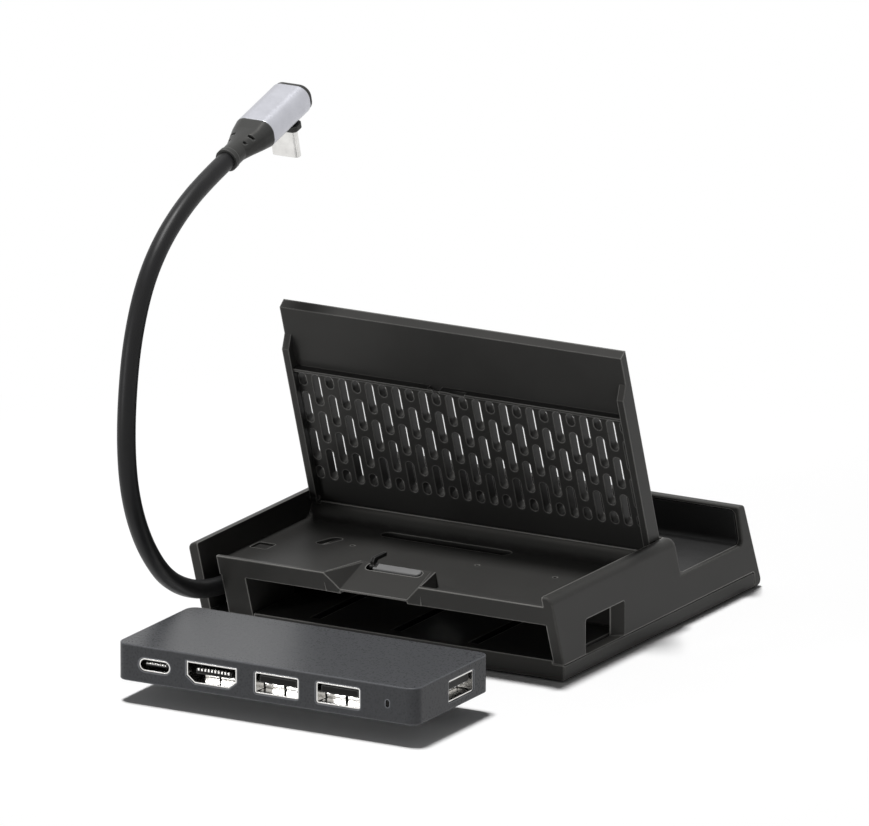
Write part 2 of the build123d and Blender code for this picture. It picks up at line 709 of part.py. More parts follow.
def catch_space():
    """The pocket in the ledge that the slider's hook enters, with a shelf that the hook slides behind."""
    hook_right = hook_left() + HOOK_WIDTH
    gap = 0.4
    deep = HOOK_BITE + gap
    ledge = LEDGE_REACH
    entry_left = hook_left() - gap
    low, high = ledge - deep, ledge + 1
    entry = panel_box(entry_left, hook_right + gap, low, high, PANEL_UPPER_FRONT, PANEL_FRONT + 1)
    shelf_front = PANEL_FRONT - CATCH_SHELF
    behind_left = hook_left() - SLIDER_TRAVEL - gap
    behind = panel_box(behind_left, entry_left + 0.1, low, high, PANEL_UPPER_FRONT, shelf_front)
    length, right = LEDGE_MARK
    mark = ConvexPolyhedron([
        (x, -y, z)
        for x, y, z in (
            (right, PANEL_FRONT, ledge + 1), (right, PANEL_FRONT - 1.2, ledge + 1),
            (right, PANEL_FRONT, ledge - 0.5), (right, PANEL_FRONT - 1.2, ledge - 0.1),
            (right - length, PANEL_FRONT, ledge + 1), (right - length, PANEL_FRONT - 1.2, ledge + 1),
            (right - length, PANEL_FRONT, ledge - 0.1), (right - length, PANEL_FRONT - 1.2, ledge),
        )
    ])
    return entry + behind + mark


def panel_upright():
    """The vent panel standing upright on its hinge axis: a plate with a ledge, and a rail at each side."""
    half = PANEL_WIDTH / 2
    lip_low = LEDGE_REACH - LEDGE_LIP
    plate = across([
        (-PANEL_BACK, -PANEL_TAIL, 0),
        (-PANEL_BACK, PANEL_REACH, 0),
        (-PANEL_UPPER_FRONT, PANEL_REACH - PANEL_TOP_FALL, 0),
        (-PANEL_UPPER_FRONT, LEDGE_REACH, 0),
        (-PANEL_FRONT, LEDGE_REACH, 0),
        (-PANEL_FRONT, lip_low, 0),
        (-PLATE_FRONT, lip_low, 0),
        (-PLATE_FRONT, -PANEL_TAIL, 0),
    ], -half, half)
    plate -= vents()
    plate -= catch_space()
    rail_top = PANEL_REACH - RAIL_DROP
    rail_front = PANEL_FRONT + RAIL_PROUD
    rail = across([
        (-PANEL_BACK, 0, 0),
        (-rail_front, 0, 0),
        (-rail_front, rail_top - RAIL_SLOPE, 0),
        (-PANEL_UPPER_FRONT, rail_top, 0),
        (-PANEL_BACK, rail_top, 0),
    ], half - RAIL_WIDTH, half)
    rail += along_x(KNUCKLE_RADIUS, half - RAIL_WIDTH, half, 0, 0)
    rail -= along_x(PIN_RADIUS + PIN_RUNNING, half - RAIL_WIDTH - 1, half + 1, 0, 0)
    return plate + rail + mirror(rail, about=Plane.YZ)


def back_panel():
    """The vent panel leaned to the angle at which it stands open."""
    return Pos(0, *PANEL_AXIS) * Rot(PANEL_LEAN, 0, 0) * panel_upright()


def hinge_pins():
    """Two steel pins, pressed into the walls and running in the panel."""
    left = PANEL_WIDTH / 2 - PIN_IN_PANEL
    right = along_x(PIN_RADIUS, left, INNER_HALF + PIN_IN_WALL, *PANEL_AXIS)
    return Compound(children=[right, mirror(right, about=Plane.YZ)])


def hook_left():
    """The X of the left side of the hook at rest, a little outside the slider's left end."""
    return slider_place() - SLIDER_LENGTH / 2 - HOOK_OVERHANG


def latch_hook():
    """The hook: a root let into the slider's left end and an arm that reaches back over the pad."""
    left = hook_left()
    root_length, root_width = HOOK_ROOT
    high = SLIDER_PROUD + HOOK_LIFT
    root = block((left, -root_width / 2, HOOK_LIFT), (left + root_length, root_width / 2, high))
    middle = ramp_plane().origin.Y
    front, back = middle - 0.6, middle + 1.2
    top = HOOK_LEVEL + HOOK_HEIGHT
    arm = across([
        (front, ramp_at(front) + HOOK_LIFT, 0),
        (front, top - 0.9, 0),
        (front + 0.9, top, 0),
        (PANEL_AXIS[0] - LEDGE_REACH + HOOK_BITE, top, 0),
        (PANEL_AXIS[0] - LEDGE_REACH + HOOK_BITE, HOOK_LEVEL, 0),
        (back + 0.7, HOOK_LEVEL, 0),
        (back, ramp_at(back) + HOOK_LIFT, 0),
    ], left, left + HOOK_WIDTH)
    return ramp_plane() * root + arm


def latch_slider():
    """The slider: rounded bar, neck and foot in the T-slot, with a seat for the hook at its left end."""
    foot_width, foot_height = SLIDER_FOOT
    plan = RectangleRounded(SLIDER_LENGTH, SLIDER_WIDTH, SLIDER_WIDTH / 2 - 0.05)
    bar = extrude(plan, amount=SLIDER_NECK + SLIDER_PROUD)
    bar = fillet(bar.faces().sort_by(Axis.Z)[-1].edges(), 0.45)
    foot = extrude(Rectangle(SLIDER_LENGTH - 1, foot_width), amount=foot_height)
    body = Pos(0, 0, -SLIDER_NECK) * bar + Pos(0, 0, -SLIDER_NECK - foot_height) * foot
    return Pos(slider_place(), 0, 0) * (ramp_plane() * body) - latch_hook()


def hub_blank():
    """The hub's outer block with rounded corners and eased edges."""
    plan = RectangleRounded(HUB_LENGTH, HUB_DEPTH, HUB_CORNER)
    body = extrude(plan, amount=HUB_HEIGHT)
    body = fillet(body.faces().sort_by(Axis.Z)[-1].edges(), HUB_EDGE)
    body = fillet(body.faces().sort_by(Axis.Z)[0].edges(), HUB_EDGE)
    return Pos(HUB_LEFT + HUB_LENGTH / 2, HUB_FRONT + HUB_DEPTH / 2, HUB_BOTTOM) * body


def hub_inside(margin, low, high):
    """A rounded block inside the hub, set in from its walls by a margin."""
    plan = RectangleRounded(
        HUB_LENGTH - 2 * margin, HUB_DEPTH - 2 * margin, max(HUB_CORNER - margin, 0.4)
    )
    return Pos(HUB_LEFT + HUB_LENGTH / 2, HUB_FRONT + HUB_DEPTH / 2, low) * extrude(plan, amount=high - low)


def front_place(centre):
    """A plane on the hub's front face, centred a length from its left end, looking out of the socket."""
    return Plane(
        origin=(HUB_LEFT + centre, HUB_FRONT, HUB_MIDDLE), x_dir=(1, 0, 0), z_dir=(0, -1, 0)
    )


def end_place():
    """A plane on the hub's right end, centred a length behind its front, looking out of the socket."""
    return Plane(
        origin=(HUB_RIGHT, HUB_FRONT + DATA_SIDE_CENTRE, HUB_MIDDLE), x_dir=(0, 1, 0), z_dir=(1, 0, 0)
    )


def rear_place():
    """A plane on the hub's back face in line with the dock's inner plug, looking out of the socket."""
    return Plane(
        origin=(INNER_PLUG_X, HUB_BACK, HUB_MIDDLE), x_dir=(-1, 0, 0), z_dir=(0, 1, 0)
    )


def data_face(grow):
    """Outline of a wide rectangular data socket, grown all round."""
    width, height = DATA_SOCKET
    return RectangleRounded(width + 2 * grow, height + 2 * grow, 0.6 + max(grow, -0.3))


def video_face(grow):
    """Outline of the video socket: a rectangle whose lower corners are slanted, grown all round."""
    width, height = VIDEO_SOCKET
    cut_x, cut_y = VIDEO_CHAMFER
    shape = Rectangle(width, height)
    half_w, half_h = width / 2, height / 2
    for side in (-1, 1):
        shape -= make_face(Polyline(
            (side * half_w, -half_h), (side * (half_w - cut_x), -half_h), (side * half_w, -half_h + cut_y),
            close=True,
        ))
    return offset(shape, amount=grow, kind=Kind.INTERSECTION) if grow else shape


def oval_face(grow):
    """Outline of a small oval socket, grown all round."""
    width, height = OVAL_SOCKET
    return SlotOverall(width + 2 * grow, height + 2 * grow)


def socket_shell(place, face):
    """A folded metal shell, open to the front and closed at the back."""
    tube = extrude(face(0.0), amount=-SOCKET_DEPTH)
    hollow = Pos(0, 0, 1) * extrude(face(-SHELL_SHEET), amount=-SOCKET_DEPTH - 1 + SHELL_SHEET)
    return place * (Pos(0, 0, -SOCKET_INSET) * (tube - hollow))


def socket_tongue(place, face, tongue, raise_by, set_back):
    """The insulator behind the shell's mouth and the contact tongue that stands on it."""
    width, thickness = tongue
    seat = SOCKET_DEPTH - SHELL_SHEET
    slip = 0.05
    insulator = Pos(0, 0, -seat) * extrude(face(-SHELL_SHEET - slip), amount=INSULATOR_DEPTH)
    blade = extrude(RectangleRounded(width, thickness, 0.2), amount=seat - set_back)
    blade = Pos(0, raise_by, -seat) * blade
    return place * (Pos(0, 0, -SOCKET_INSET) * (insulator + blade))


def socket_hole(place, face):
    """The hole in the hub's wall for a socket."""
    return place * extrude(face(SOCKET_SLIP), amount=4.0, both=True)


def light_face(grow):
    """Outline of the status light's slit, grown all round."""
    width, height = LIGHT_SLIT
    return Rot(0, 0, 90) * SlotOverall(height + 2 * grow, width + 2 * grow)


def sockets():
    """Every socket of the hub: name, place, outline, tongue, and the tongue's raise and set-back."""
    rows = [
        ("oval_socket", front_place(OVAL_CENTRE), oval_face, OVAL_TONGUE, 0.0, 1.0),
        ("video_socket", front_place(VIDEO_CENTRE), video_face, VIDEO_TONGUE, 0.2, 1.2),
        ("rear_socket", rear_place(), oval_face, OVAL_TONGUE, 0.0, 3.0),
        ("data_socket_side", end_place(), data_face, DATA_TONGUE, DATA_TONGUE_RAISE, 0.8),
    ]
    for side, centre in DATA_CENTRES.items():
        row = (f"data_socket_{side}", front_place(centre), data_face, DATA_TONGUE, DATA_TONGUE_RAISE, 0.8)
        rows.append(row)
    return rows


def hub_case():
    """The hub's case: top and four walls in one, open below, with a hole for each socket."""
    body = hub_blank() - hub_inside(HUB_WALL, HUB_BOTTOM - 1, HUB_TOP - HUB_WALL)
    for _, place, face, _, _, _ in sockets():
        body -= socket_hole(place, face)
    return body - socket_hole(front_place(LIGHT_CENTRE), light_face)


def hub_base():
    """The plate that closes the case from below."""
    slip = 0.1
    return hub_inside(HUB_WALL + slip, HUB_BOTTOM, HUB_BOTTOM + HUB_BASE)


def hub_board():
    """The circuit board, lying on the base plate."""
    low = HUB_BOTTOM + HUB_BASE
    return hub_inside(HUB_WALL + 1.0, low, low + HUB_BOARD)


def status_light():
    """The light pipe behind the slit in the hub's front."""
    pipe = extrude(light_face(0.0), amount=-4.0)
    flange = Pos(0, 0, -HUB_WALL - 0.8) * extrude(light_face(0.7), amount=0.7)
    return front_place(LIGHT_CENTRE) * (Pos(0, 0, -0.15) * pipe + flange)


def inner_plug_box():
    """Low and high corners of the inner plug's moulded body."""
    width, depth, height = INNER_PLUG
    front = HUB_BACK_DOCKED + INNER_PLUG_GAP
    low = (INNER_PLUG_X - width / 2, front, HUB_MIDDLE - height / 2)
    return low, (INNER_PLUG_X + width / 2, front + depth, HUB_MIDDLE + height / 2)


def plug_shell(length):
    """A hollow plug tip standing on the XY plane, with its mouth at the far end."""
    width, height = TIP_SIZE
    tip = extrude(SlotOverall(width, height), amount=length)
    hollow = extrude(SlotOverall(width - 2 * TIP_SHEET, height - 2 * TIP_SHEET), amount=length)
    return tip - Pos(0, 0, 1.0) * hollow


def inner_plug_body():
    """The right-angled moulding on the lead's inner end, clamped behind the bay."""
    low, high = inner_plug_box()
    return fillet(block(low, high).edges().filter_by(Axis.Z), 1.5)


def inner_plug_tip():
    """The inner plug's metal tip, facing the bay."""
    low, _ = inner_plug_box()
    face = Plane(origin=(INNER_PLUG_X, low[1], HUB_MIDDLE), x_dir=(1, 0, 0), z_dir=(0, -1, 0))
    return face * plug_shell(TIP_LENGTH)


def cable_points():
    """The lead's route from the inner plug, round behind the bay, along the channel and up to the plug."""
    low, high = inner_plug_box()
    middle = (low[1] + high[1]) / 2
    inner = [
        (low[0], middle, HUB_MIDDLE),
        (CABLE_X + CABLE_TURN, middle, HUB_MIDDLE),
        (CABLE_X, middle - CABLE_TURN, HUB_MIDDLE + 0.1),
        (CABLE_X, middle - 26.0, HUB_MIDDLE),
    ]
    outer = [
        (-53.1, 11.6), (-66.3, 13.9), (-79.2, 19.8), (-88.1, 28.1), (-95.0, 38.0), (-99.4, 49.0),
        (-101.1, 61.0), (-100.5, 74.5), (-97.8, 89.2), (-91.6, 102.9), (-82.4, 112.5), (-70.3, 119.6),
        (-57.5, 124.1), (-48.6, 126.45),
    ]
    return inner + [(CABLE_X, y, z) for y, z in outer]


def cable_radii(points):
    """At each corner the largest arc that leaves a tenth of the shorter run straight."""
    radii = []
    for before, here, after in zip(points, points[1:], points[2:]):
        run_in = Vector(*here) - Vector(*before)
        run_out = Vector(*after) - Vector(*here)
        turn = math.radians(run_in.get_angle(run_out))
        radii.append(0.45 * min(run_in.length, run_out.length) / math.tan(turn / 2))
    return radii


def cable():
    """The lead as a round tube on straight runs and tangent arcs."""
    points = cable_points()
    radii = cable_radii(points)
    print("lead radii:", [round(r, 1) for r in radii])
    path = FilletPolyline(*points, radius=radii)
    start = Plane(origin=path @ 0, z_dir=path % 0)
    tube = sweep(start * Circle(CABLE_DIAMETER / 2), path=path)
    section = math.pi * CABLE_DIAMETER ** 2 / 4
    ratio = tube.volume / section / path.length
    print("lead length:", round(path.length, 1), "volume ratio:", round(ratio, 4))
    return tube


def plug_place():
    """A plane at the lead's far end: Z along the plug, X along the dock's width, Y out of its top."""
    before, end = [Vector(*p) for p in cable_points()[-2:]]
    return Plane(origin=end, x_dir=(-1, 0, 0), z_dir=end - before)


def plug_face(grow):
    """Section of the plug's body, grown all round."""
    width, height = PLUG_SECTION
    return RectangleRounded(width + 2 * grow, height + 2 * grow, PLUG_ROUND + grow)


def strain_relief():
    """Sleeve on the lead that flares out to the plug, with a collar and two grip slots on each side."""
    collar_radius, collar_length = RELIEF_COLLAR
    collar = extrude(Circle(collar_radius), amount=collar_length)
    sleeve = extrude(Circle(RELIEF_ROOT), amount=RELIEF_SLEEVE)
    root = Pos(0, 0, RELIEF_SLEEVE) * Circle(RELIEF_ROOT)
    crown_length, inset = RELIEF_SHOULDER
    shoulder = Pos(0, 0, RELIEF_LENGTH - crown_length) * plug_face(-inset)
    flare = loft([root, shoulder])
    crown = loft([shoulder, Pos(0, 0, RELIEF_LENGTH) * plug_face(0.0)])
    body = collar + sleeve + flare + crown
    inner, floor, width = RELIEF_SLOT
    outer = PLUG_SECTION[0]
    for start in RELIEF_SLOTS:
        slot = block((inner, floor, start), (outer, outer, start + width))
        body -= slot + mirror(slot, about=Plane.YZ)
    return plug_place() * body


def plug_body():
    """The plug's aluminium sleeve."""
    sleeve = extrude(plug_face(0.0), amount=PLUG_LENGTH)
    return plug_place() * Pos(0, 0, RELIEF_LENGTH) * sleeve


def plug_end_cap():
    """The dark cap that closes the sleeve's far end."""
    cap = extrude(plug_face(-CAP_INSET), amount=CAP_LENGTH)
    cap = fillet(cap.faces().sort_by(Axis.Z)[-1].edges(), 0.5)
    return plug_place() * Pos(0, 0, RELIEF_LENGTH + PLUG_LENGTH) * cap


def tip_place():
    """A plane under the plug near its far end, with Z pointing out of the plug's underside."""
    along = RELIEF_LENGTH + PLUG_LENGTH - TIP_FROM_END
    here = plug_place()
    origin = here.from_local_coords((0, -PLUG_SECTION[1] / 2, along))
    return Plane(origin=origin, x_dir=here.x_dir, z_dir=here.y_dir * -1)


def plug_collar():
    """The dark collar round the root of the tip."""
    width, depth, height = PLUG_COLLAR
    return tip_place() * extrude(RectangleRounded(width, depth, 1.4), amount=height)


def plug_tip():
    """The plug's metal tip, pointing down to the console."""
    return tip_place() * Pos(0, 0, PLUG_COLLAR[2]) * plug_shell(OUTER_TIP_LENGTH)


PIECES = {
    "upper_housing": upper_housing,
    "bottom_cover": bottom_cover,
    "trough_liner": trough_liner,
    "foot_ring": foot_ring,
    "cover_screws": cover_screws,
    "hinge_pins": hinge_pins,
    "back_panel": back_panel,
    "latch_slider": latch_slider,
    "latch_hook": latch_hook,
    "hub_case": hub_case,
    "hub_base": hub_base,
    "hub_board": hub_board,
    "status_light": status_light,
    "inner_plug_body": inner_plug_body,
    "inner_plug_tip": inner_plug_tip,
    "cable": cable,
    "strain_relief": strain_relief,
    "plug_body": plug_body,
    "plug_end_cap": plug_end_cap,
    "plug_collar": plug_collar,
    "plug_tip": plug_tip,
}

os.makedirs("parts", exist_ok=True)
for name, make in PIECES.items():
    export_step(make(), f"parts/{name}.step")
for name, place, face, tongue, raise_by, set_back in sockets():
    export_step(socket_shell(place, face), f"parts/{name}_shell.step")
    export_step(socket_tongue(place, face, tongue, raise_by, set_back), f"parts/{name}_tongue.step")
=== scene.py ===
import math

import bmesh
import bpy
import numpy as np
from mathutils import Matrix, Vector


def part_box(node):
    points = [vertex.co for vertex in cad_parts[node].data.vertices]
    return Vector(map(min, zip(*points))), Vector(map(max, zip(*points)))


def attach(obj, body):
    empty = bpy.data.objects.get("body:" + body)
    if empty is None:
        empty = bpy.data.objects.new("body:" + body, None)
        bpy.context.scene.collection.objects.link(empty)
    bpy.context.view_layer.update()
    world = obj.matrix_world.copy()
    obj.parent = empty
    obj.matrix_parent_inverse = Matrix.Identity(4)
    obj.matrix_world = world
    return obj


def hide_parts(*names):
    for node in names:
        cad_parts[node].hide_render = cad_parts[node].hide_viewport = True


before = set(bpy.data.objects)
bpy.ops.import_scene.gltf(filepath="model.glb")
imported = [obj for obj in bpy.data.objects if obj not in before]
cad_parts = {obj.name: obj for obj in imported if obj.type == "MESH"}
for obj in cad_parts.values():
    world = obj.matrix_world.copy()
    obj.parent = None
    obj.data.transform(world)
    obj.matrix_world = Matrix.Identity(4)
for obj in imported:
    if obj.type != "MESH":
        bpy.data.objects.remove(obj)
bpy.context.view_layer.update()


# Upper housing and bottom cover
# The body is one dark injection moulding that carries every other piece, and a shallow cover
# closes it from below. Both come from a spark-eroded mould, so the skin is matt with a fine grain.

MM = 0.001


def new_finish(name, roughness, metallic=0.0, specular=0.12, sheen_tint=(1, 1, 1)):
    """An empty material with its node tree, its shader, and the piece's own coordinates in metres."""
    material = bpy.data.materials.new(name)
    material.use_nodes = True
    tree = material.node_tree
    skin = tree.nodes["Principled BSDF"]
    skin.inputs["Roughness"].default_value = roughness
    skin.inputs["Metallic"].default_value = metallic
    skin.inputs["Specular IOR Level"].default_value = specular
    skin.inputs["Specular Tint"].default_value = (*sheen_tint, 1)
    place = tree.nodes.new("ShaderNodeTexCoord").outputs["Object"]
    return material, tree, skin, place


def speckle(tree, place, size, detail=2.0, stretch=(1, 1, 1)):
    """Noise whose spots are about size metres across, drawn out along the axes by stretch."""
    mapping = tree.nodes.new("ShaderNodeMapping")
    mapping.inputs["Scale"].default_value = [1 / s for s in stretch]
    noise = tree.nodes.new("ShaderNodeTexNoise")
    noise.inputs["Scale"].default_value = 1 / size
    noise.inputs["Detail"].default_value = detail
    tree.links.new(place, mapping.inputs["Vector"])
    tree.links.new(mapping.outputs["Vector"], noise.inputs["Vector"])
    return noise.outputs["Fac"]


def drift_tone(tree, skin, spots, colour, spread):
    """Base colour that runs from darker to lighter by spread as the noise goes from low to high."""
    ramp = tree.nodes.new("ShaderNodeValToRGB")
    for stop, place, gain in zip(ramp.color_ramp.elements, (0.3, 0.7), (1 - spread, 1 + spread)):
        stop.position = place
        stop.color = [min(c * gain, 1.0) for c in colour] + [1.0]
    tree.links.new(spots, ramp.inputs["Fac"])
    tree.links.new(ramp.outputs["Color"], skin.inputs["Base Color"])


def drift_gloss(tree, skin, spots, low, high):
    """Roughness between low and high, following the noise."""
    span = tree.nodes.new("ShaderNodeMapRange")
    span.inputs["From Min"].default_value = 0.3
    span.inputs["From Max"].default_value = 0.7
    span.inputs["To Min"].default_value = low
    span.inputs["To Max"].default_value = high
    tree.links.new(spots, span.inputs["Value"])
    tree.links.new(span.outputs["Result"], skin.inputs["Roughness"])


def raise_grain(tree, skin, heights, depth, easing):
    """Bump of the given depth in metres from a height signal, over corners rounded by easing."""
    corners = tree.nodes.new("ShaderNodeBevel")
    corners.samples = 8
    corners.inputs["Radius"].default_value = easing
    bump = tree.nodes.new("ShaderNodeBump")
    bump.inputs["Distance"].default_value = depth
    tree.links.new(corners.outputs["Normal"], bump.inputs["Normal"])
    tree.links.new(heights, bump.inputs["Height"])
    tree.links.new(bump.outputs["Normal"], skin.inputs["Normal"])


# Painted highlights: outward corners, picked out by occlusion inside the solid, are mixed towards a paler
# colour in place of the light that edges catch.
PAINTED_HIGHLIGHT_STARTS = 0.95
PAINTED_HIGHLIGHT_FULL = 0.55


def paint_corner_highlights(tree, skin, colour, reach):
    """Painted highlight: outward corners made paler. They are found where the solid is thin within reach of
    the point.
    """
    inside = tree.nodes.new("ShaderNodeAmbientOcclusion")
    inside.inside = True
    inside.only_local = True
    inside.samples = 8
    inside.inputs["Distance"].default_value = reach
    highlight_share = tree.nodes.new("ShaderNodeMapRange")
    highlight_share.inputs["From Min"].default_value = PAINTED_HIGHLIGHT_STARTS
    highlight_share.inputs["From Max"].default_value = PAINTED_HIGHLIGHT_FULL
    tree.links.new(inside.outputs["AO"], highlight_share.inputs["Value"])
    blend = tree.nodes.new("ShaderNodeMixRGB")
    blend.inputs["Color2"].default_value = (*colour, 1)
    tree.links.new(highlight_share.outputs["Result"], blend.inputs["Fac"])
    tree.links.new(skin.inputs["Base Color"].links[0].from_socket, blend.inputs["Color1"])
    tree.links.new(blend.outputs["Color"], skin.inputs["Base Color"])


CORNER_EASING = 0.40 * MM
MOULDING_SHEEN = (1.0, 0.97, 0.91)


def moulded_plastic(name, colour, roughness, grain, depth, mottle=14 * MM, spread=0.05, highlight_gain=8.0):
    """Satin moulding: fine erosion grain as bump, drifting tone and gloss, and painted highlights that make
    the outward corners paler by the given factor.
    """
    material, tree, skin, place = new_finish(name, roughness, sheen_tint=MOULDING_SHEEN)
    spots = speckle(tree, place, mottle, 3.0)
    drift_tone(tree, skin, spots, colour, spread)
    drift_gloss(tree, skin, spots, roughness - spread / 2, roughness + spread / 2)
    # Painted highlight along the outward corners.
    paint_corner_highlights(tree, skin, [highlight_gain * c for c in colour], CORNER_EASING)
    raise_grain(tree, skin, speckle(tree, place, grain, 3.0), depth, CORNER_EASING)
    return material


def dress(material, *names):
    """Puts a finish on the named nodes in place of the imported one."""
    for name in names:
        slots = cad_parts[name].data.materials
        slots.clear()
        slots.append(material)


HOUSING_COLOUR = (0.0345, 0.0340, 0.0325)
housing_finish = moulded_plastic("housing_moulding", HOUSING_COLOUR, 0.42, 0.22 * MM, 0.008 * MM)
dress(housing_finish, "upper_housing", "bottom_cover")


# Trough lining, foot ring and cover screws
# The console stands on a soft black lining glued into the trough, and the dock on a rubber ring let
# into its cover. The cover's screws are blackened steel.

def soft_rubber(name, colour, roughness):
    """Dull rubber: a very fine even grain, with faint handling marks that drift the gloss."""
    material, tree, skin, place = new_finish(name, roughness, specular=0.35)
    drift_tone(tree, skin, speckle(tree, place, 9 * MM), colour, 0.12)
    drift_gloss(tree, skin, speckle(tree, place, 5 * MM), roughness - 0.08, roughness + 0.04)
    raise_grain(tree, skin, speckle(tree, place, 0.12 * MM), 0.008 * MM, 0.30 * MM)
    return material


dress(soft_rubber("trough_lining", (0.008, 0.008, 0.008), 0.62), "trough_liner")
dress(soft_rubber("foot_rubber", (0.012, 0.012, 0.012), 0.75), "foot_ring")


def turned_steel(name, colour, roughness, stretch):
    """Drawn or turned steel: fine scratches along one axis, in the bump and in the gloss."""
    material, tree, skin, place = new_finish(name, roughness, metallic=1.0)
    lines = speckle(tree, place, 0.08 * MM, 2.0, stretch)
    drift_tone(tree, skin, speckle(tree, place, 3 * MM), colour, 0.08)
    drift_gloss(tree, skin, lines, roughness - 0.06, roughness + 0.08)
    raise_grain(tree, skin, lines, 0.002 * MM, 0.06 * MM)
    return material


dress(turned_steel("blackened_steel", (0.10, 0.10, 0.105), 0.38, (1, 1, 8)), "cover_screws")
dress(turned_steel("pin_steel", (0.62, 0.62, 0.63), 0.22, (30, 1, 1)), "hinge_pins")


# Vent panel
# A separate moulding, smoother than the housing, that hinges on two pins and carries the staggered
# slots through which the console's fan breathes.

PANEL_COLOUR = (0.0375, 0.0371, 0.0358)
panel_finish = moulded_plastic("panel_moulding", PANEL_COLOUR, 0.34, 0.16 * MM, 0.004 * MM, highlight_gain=5.0)
dress(panel_finish, "back_panel")


# Latch slider
# The pale thumb bar that locks the folded panel. It is moulded in grey and runs in the ramp's slot, and
# a black hook is let into its left end.

SLIDER_GREY = (0.18, 0.18, 0.18)
HOOK_BLACK = (0.010, 0.010, 0.010)
slider_finish = moulded_plastic("slider_moulding", SLIDER_GREY, 0.40, 0.15 * MM, 0.006 * MM, highlight_gain=1.8)
hook_finish = moulded_plastic("hook_moulding", HOOK_BLACK, 0.36, 0.15 * MM, 0.004 * MM)
dress(slider_finish, "latch_slider")
dress(hook_finish, "latch_hook")


# Hub case, base, board and light
# The case is a grey moulding with a fine sparkling grain. Its base plate closes it from below, the
# board inside is green laminate, and a smoked pipe stands in the light slit.

HUB_COLOUR = (0.0570, 0.0590, 0.0635)
BOARD_GREEN = (0.012, 0.07, 0.03)
SMOKED_BLACK = (0.006, 0.006, 0.006)
hub_finish = moulded_plastic(
    "hub_moulding", HUB_COLOUR, 0.30, 0.45 * MM, 0.004 * MM, mottle=0.6 * MM, spread=0.12, highlight_gain=5.0,
)
board_finish = moulded_plastic("board_lacquer", BOARD_GREEN, 0.35, 0.5 * MM, 0.01 * MM)
pipe_finish = moulded_plastic("smoked_pipe", SMOKED_BLACK, 0.18, 1.0 * MM, 0.001 * MM, highlight_gain=1.0)
dress(hub_finish, "hub_case", "hub_base")
dress(board_finish, "hub_board")
dress(pipe_finish, "status_light")


# Sockets
# Each is a shell folded from bright tinned sheet round a black tongue. Plated contacts are pressed into
# the tongue, below it in the data sockets and above it in the others, and two spring leaves are bent up
# from the floor of the data and video shells.

SOCKETS = (
    "oval_socket", "video_socket", "data_socket_left", "data_socket_right", "data_socket_side", "rear_socket",
)
TONGUE_BLACK = (0.010, 0.010, 0.010)
sheet_steel = turned_steel("tinned_sheet", (0.74, 0.73, 0.71), 0.20, (1, 12, 1))
tongue_finish = moulded_plastic("tongue_moulding", TONGUE_BLACK, 0.35, 0.12 * MM, 0.004 * MM)
dress(sheet_steel, *[name + "_shell" for name in SOCKETS])
dress(tongue_finish, *[name + "_tongue" for name in SOCKETS])

SPRING_PLATE = 0.12 * MM


def sprung_strips(across, width, profile):
    """Closed strips, one at each place across: a rectangle carried along a profile of depth and height.

    The rectangle is width wide and as thick as the sheet. At each station it stands square to the profile,
    whose direction is the difference between the stations on either side.
    """
    depth, height = np.array(profile, float).T * MM
    run, rise = np.gradient(depth), np.gradient(height)
    length = np.hypot(run, rise)
    thick = np.array([0, 0, 1, 1])[None, None, :] * SPRING_PLATE
    sides = np.array([-1, 1, 1, -1])[None, None, :] * width / 2
    columns = np.broadcast_arrays(
        across[:, None, None] + sides,
        depth[None, :, None] - thick * (rise / length)[None, :, None],
        height[None, :, None] + thick * (run / length)[None, :, None],
    )
    index = np.arange(columns[0].size).reshape(columns[0].shape)
    after = np.roll(index, -1, axis=2)
    walls = np.stack([index[:, :-1], after[:, :-1], after[:, 1:], index[:, 1:]], axis=-1).reshape(-1, 4)
    ends = np.concatenate([index[:, 0], index[:, -1]])
    return np.stack(columns, axis=-1).reshape(-1, 3), np.concatenate([walls, ends])


def springs(socket, outward, rows):
    """The strips of one socket as one piece, set out from the middle of its mouth along the outward axis."""
    low, high = (np.array(corner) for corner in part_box(socket + "_shell"))
    out = np.array(outward, float)
    sideways = np.cross(out, (0, 0, -1))
    mouth = ((low + high) / 2 + out * (high - low) / 2) * (1, 1, 0)
    strips = [sprung_strips(*row) for row in rows]
    points = np.concatenate([corners for corners, _ in strips])
    starts = np.cumsum([0] + [len(corners) for corners, _ in strips])
    faces = np.concatenate([walls + start for (_, walls), start in zip(strips, starts)])
    places = mouth + points[:, :1] * sideways - points[:, 1:2] * out + points[:, 2:] * (0, 0, 1)
    data = bpy.data.meshes.new(socket + "_springs")
    data.from_pydata(places.tolist(), [], faces.tolist())
    mesh = bmesh.new()
    mesh.from_mesh(data)
    bmesh.ops.recalc_face_normals(mesh, faces=mesh.faces)
    mesh.to_mesh(data)
    mesh.free()
    data.materials.append(spring_plating)
    piece = bpy.data.objects.new(socket + "_springs", data)
    bpy.context.scene.collection.objects.link(piece)
    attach(piece, "hub")


